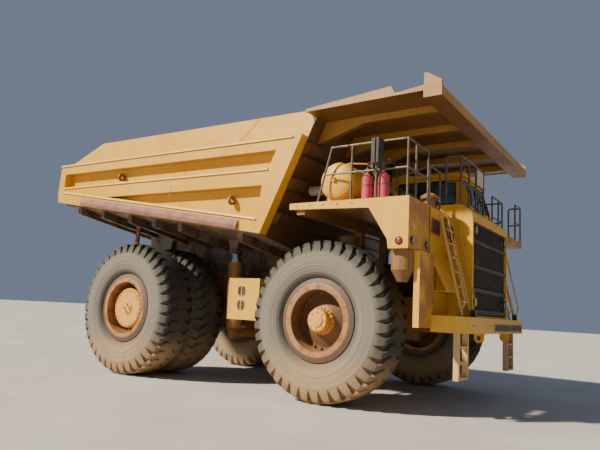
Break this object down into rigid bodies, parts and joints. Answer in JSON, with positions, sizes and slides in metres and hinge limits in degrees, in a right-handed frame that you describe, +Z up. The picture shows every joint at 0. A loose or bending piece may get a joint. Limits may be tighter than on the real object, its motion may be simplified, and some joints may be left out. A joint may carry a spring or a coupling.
{
  "type": "mining dump truck",
  "caption": "Rigid-frame mining dump truck with a tipping V-floored bed and canopy, steered front wheels, rear twin wheels, telescopic hoists and an offset cab.",
  "frame": {"origin": "on the ground under the middle of the truck's length and width", "axes": "+X forward to the bumper, +Y to the truck's left, +Z up"},
  "size_m": [11.19, 6.64, 5.8261],
  "materials": {
    "body_paint": "faded ochre-yellow enamel, dusty",
    "frame_paint": "dirty ochre enamel under dust",
    "grille_black": "near-black brown enamel",
    "lamp_lens": "clear lens",
    "window_glass": "teal-tinted safety glass",
    "cab_trim": "dark moulded trim",
    "rail_steel": "worn brown enamel on tube",
    "mirror_black": "black housing",
    "red_paint": "faded red enamel",
    "exhaust_steel": "dull heat-dusted steel",
    "engine_iron": "dusty cast iron",
    "bed_steel": "worn and dusty bed steel",
    "canopy_rust": "rust-stained brown enamel",
    "tyre_rubber": "dust-grey rubber",
    "rim_rust": "rust-orange enamel on steel",
    "rod_chrome": "polished rod"
  },
  "bodies": {
    "chassis": {"frame": "frame_paint", "bumper": "body_paint", "deck": "body_paint", "hood": "body_paint", "grille": "grille_black", "lamps": "lamp_lens", "cab_shell": "body_paint", "cab_glass": "window_glass", "cab_interior": "cab_trim", "handrails": "rail_steel", "mirrors": "mirror_black", "ladders": "body_paint", "air_tank": "body_paint", "extinguishers": "red_paint", "air_cleaners": "body_paint", "exhaust": "exhaust_steel", "engine": "engine_iron", "side_tanks": "body_paint", "struts": "frame_paint", "rear_axle": "frame_paint"},
    "cab_door": {"cab_door": "body_paint", "door_glass": "window_glass"},
    "bed": {"bed_floor": "bed_steel", "bed_sides": "body_paint", "bed_front_wall": "body_paint", "bed_canopy": "canopy_rust", "rock_ejectors": "canopy_rust"},
    "tie_rod": {"tie_rod": "frame_paint"},
    "knuckle_right": {"knuckle_right": "frame_paint"},
    "front_wheel_right": {"front_tyre_right": "tyre_rubber", "front_rim_right": "rim_rust"},
    "rear_wheels_right": {"rear_tyres_right": "tyre_rubber", "rear_rims_right": "rim_rust"},
    "steer_barrel_right": {"steer_barrel_right": "frame_paint"},
    "steer_rod_right": {"steer_rod_right": "rod_chrome"},
    "hoist_barrel_right": {"hoist_barrel_right": "frame_paint"},
    "hoist_sleeve_right": {"hoist_sleeve_right": "rod_chrome"},
    "hoist_rod_right": {"hoist_rod_right": "rod_chrome"},
    "knuckle_left": {"knuckle_left": "frame_paint"},
    "front_wheel_left": {"front_tyre_left": "tyre_rubber", "front_rim_left": "rim_rust"},
    "rear_wheels_left": {"rear_tyres_left": "tyre_rubber", "rear_rims_left": "rim_rust"},
    "steer_barrel_left": {"steer_barrel_left": "frame_paint"},
    "steer_rod_left": {"steer_rod_left": "rod_chrome"},
    "hoist_barrel_left": {"hoist_barrel_left": "frame_paint"},
    "hoist_sleeve_left": {"hoist_sleeve_left": "rod_chrome"},
    "hoist_rod_left": {"hoist_rod_left": "rod_chrome"}
  },
  "joints": [
    {"name": "bed_tip", "type": "hinge", "parent": "chassis", "child": "bed", "pos_m": [-3.455, 0, 2.45], "axis": [0, -1, 0], "range_deg": [0, 45]},
    {"name": "cab_door_hinge", "type": "hinge", "parent": "chassis", "child": "cab_door", "pos_m": [3.255, 1.976, 4.3], "axis": [0, 0, 1], "range_deg": [0, 85]},
    {"name": "steer_right", "type": "hinge", "parent": "chassis", "child": "knuckle_right", "pos_m": [2.995, -1.68, 1.53], "axis": [0, 0, 1], "range_deg": [-36, 36]},
    {"name": "steer_left", "type": "hinge", "parent": "chassis", "child": "knuckle_left", "pos_m": [2.995, 1.68, 1.53], "axis": [0, 0, 1], "range_deg": [-36, 36]},
    {"name": "tie_rod_pivot", "type": "hinge", "parent": "knuckle_right", "child": "tie_rod", "pos_m": [2.495, -1.68, 1.065], "axis": [0, 0, 1], "range_deg": [-36, 36]},
    {"name": "front_wheel_spin_right", "type": "hinge", "parent": "knuckle_right", "child": "front_wheel_right", "pos_m": [2.995, -2.425, 1.53], "axis": [0, 1, 0], "continuous": true},
    {"name": "rear_wheels_spin_right", "type": "hinge", "parent": "chassis", "child": "rear_wheels_right", "pos_m": [-2.185, -2.1425, 1.53], "axis": [0, 1, 0], "continuous": true},
    {"name": "steer_barrel_pivot_right", "type": "hinge", "parent": "chassis", "child": "steer_barrel_right", "pos_m": [2.595, -0.3, 1.265], "axis": [0, 0, 1], "range_deg": [-1, 1]},
    {"name": "steer_rod_slide_right", "type": "slide", "parent": "steer_barrel_right", "child": "steer_rod_right", "axis": [0, -1, 0], "range_m": [-0.24, 0.24]},
    {"name": "hoist_barrel_pivot_right", "type": "hinge", "parent": "chassis", "child": "hoist_barrel_right", "pos_m": [-0.145, -1.45, 1.06], "axis": [0, -1, 0], "range_deg": [0, 17.2]},
    {"name": "hoist_sleeve_slide_right", "type": "slide", "parent": "hoist_barrel_right", "child": "hoist_sleeve_right", "axis": [-0.045, 0, 0.999], "range_m": [0, 1.18]},
    {"name": "hoist_rod_slide_right", "type": "slide", "parent": "hoist_sleeve_right", "child": "hoist_rod_right", "axis": [-0.045, 0, 0.999], "range_m": [0, 1.18]},
    {"name": "front_wheel_spin_left", "type": "hinge", "parent": "knuckle_left", "child": "front_wheel_left", "pos_m": [2.995, 2.425, 1.53], "axis": [0, 1, 0], "continuous": true},
    {"name": "rear_wheels_spin_left", "type": "hinge", "parent": "chassis", "child": "rear_wheels_left", "pos_m": [-2.185, 2.1425, 1.53], "axis": [0, 1, 0], "continuous": true},
    {"name": "steer_barrel_pivot_left", "type": "hinge", "parent": "chassis", "child": "steer_barrel_left", "pos_m": [2.595, 0.3, 1.265], "axis": [0, 0, 1], "range_deg": [-1, 1]},
    {"name": "steer_rod_slide_left", "type": "slide", "parent": "steer_barrel_left", "child": "steer_rod_left", "axis": [0, 1, 0], "range_m": [-0.24, 0.24]},
    {"name": "hoist_barrel_pivot_left", "type": "hinge", "parent": "chassis", "child": "hoist_barrel_left", "pos_m": [-0.145, 1.45, 1.06], "axis": [0, -1, 0], "range_deg": [0, 17.2]},
    {"name": "hoist_sleeve_slide_left", "type": "slide", "parent": "hoist_barrel_left", "child": "hoist_sleeve_left", "axis": [-0.045, 0, 0.999], "range_m": [0, 1.18]},
    {"name": "hoist_rod_slide_left", "type": "slide", "parent": "hoist_sleeve_left", "child": "hoist_rod_left", "axis": [-0.045, 0, 0.999], "range_m": [0, 1.18]}
  ],
  "couplings": [
    {"joint": "steer_left", "follows": "steer_right", "ratio": 1},
    {"joint": "tie_rod_pivot", "follows": "steer_right", "ratio": -1},
    {"joint": "steer_barrel_pivot_right", "follows": "steer_right", "ratio": -0.0154},
    {"joint": "steer_rod_slide_right", "follows": "steer_right", "m_per_rad": 0.3735},
    {"joint": "hoist_barrel_pivot_right", "follows": "bed_tip", "ratio": 0.3797},
    {"joint": "hoist_sleeve_slide_right", "follows": "bed_tip", "m_per_rad": 1.496},
    {"joint": "hoist_rod_slide_right", "follows": "bed_tip", "m_per_rad": 1.496},
    {"joint": "steer_barrel_pivot_left", "follows": "steer_right", "ratio": -0.0154},
    {"joint": "steer_rod_slide_left", "follows": "steer_right", "m_per_rad": -0.3735},
    {"joint": "hoist_barrel_pivot_left", "follows": "bed_tip", "ratio": 0.3797},
    {"joint": "hoist_sleeve_slide_left", "follows": "bed_tip", "m_per_rad": 1.496},
    {"joint": "hoist_rod_slide_left", "follows": "bed_tip", "m_per_rad": 1.496}
  ]
}
